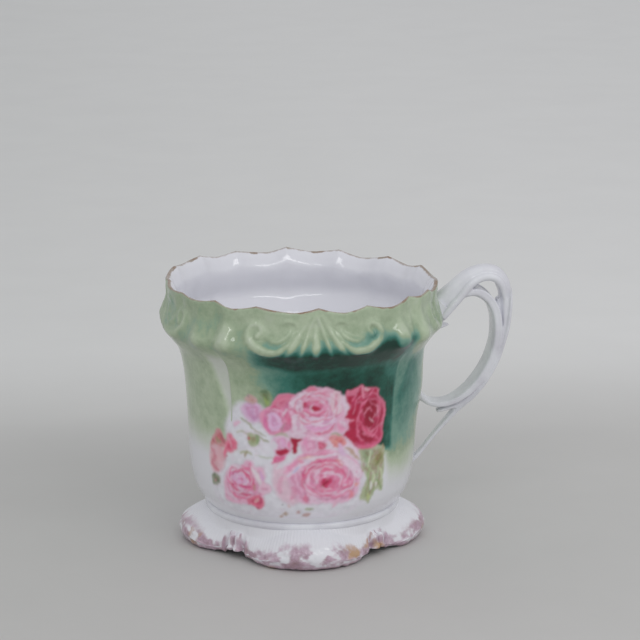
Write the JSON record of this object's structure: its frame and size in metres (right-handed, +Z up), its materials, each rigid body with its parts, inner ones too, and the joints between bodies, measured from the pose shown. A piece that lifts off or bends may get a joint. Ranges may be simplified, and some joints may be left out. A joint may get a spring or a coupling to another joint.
{
  "type": "shaving mug",
  "caption": "Porcelain shaving mug with a moulded collar, a scalloped rim, a lobed foot and an openwork scroll handle, for holding soap and a brush.",
  "frame": {"origin": "middle of the bounding box, on the table that the foot stands on", "axes": "+Z up along the mug's own axis, +X from the mug towards its handle; the decorated side faces -Y"},
  "size_m": [0.12, 0.0962, 0.0913],
  "materials": {
    "body_glaze": "clear gloss glaze over a sprayed green ground",
    "foot_glaze": "clear gloss glaze with patches of mauve lustre",
    "handle_glaze": "clear gloss glaze on white porcelain",
    "slip": "glazed over"
  },
  "bodies": {
    "root": {"mug_body": "body_glaze", "foot": "foot_glaze", "foot_joint": "slip", "handle": "handle_glaze", "upper_joint": "slip", "loop_joint": "slip", "tail_joint": "slip"}
  },
  "joints": []
}
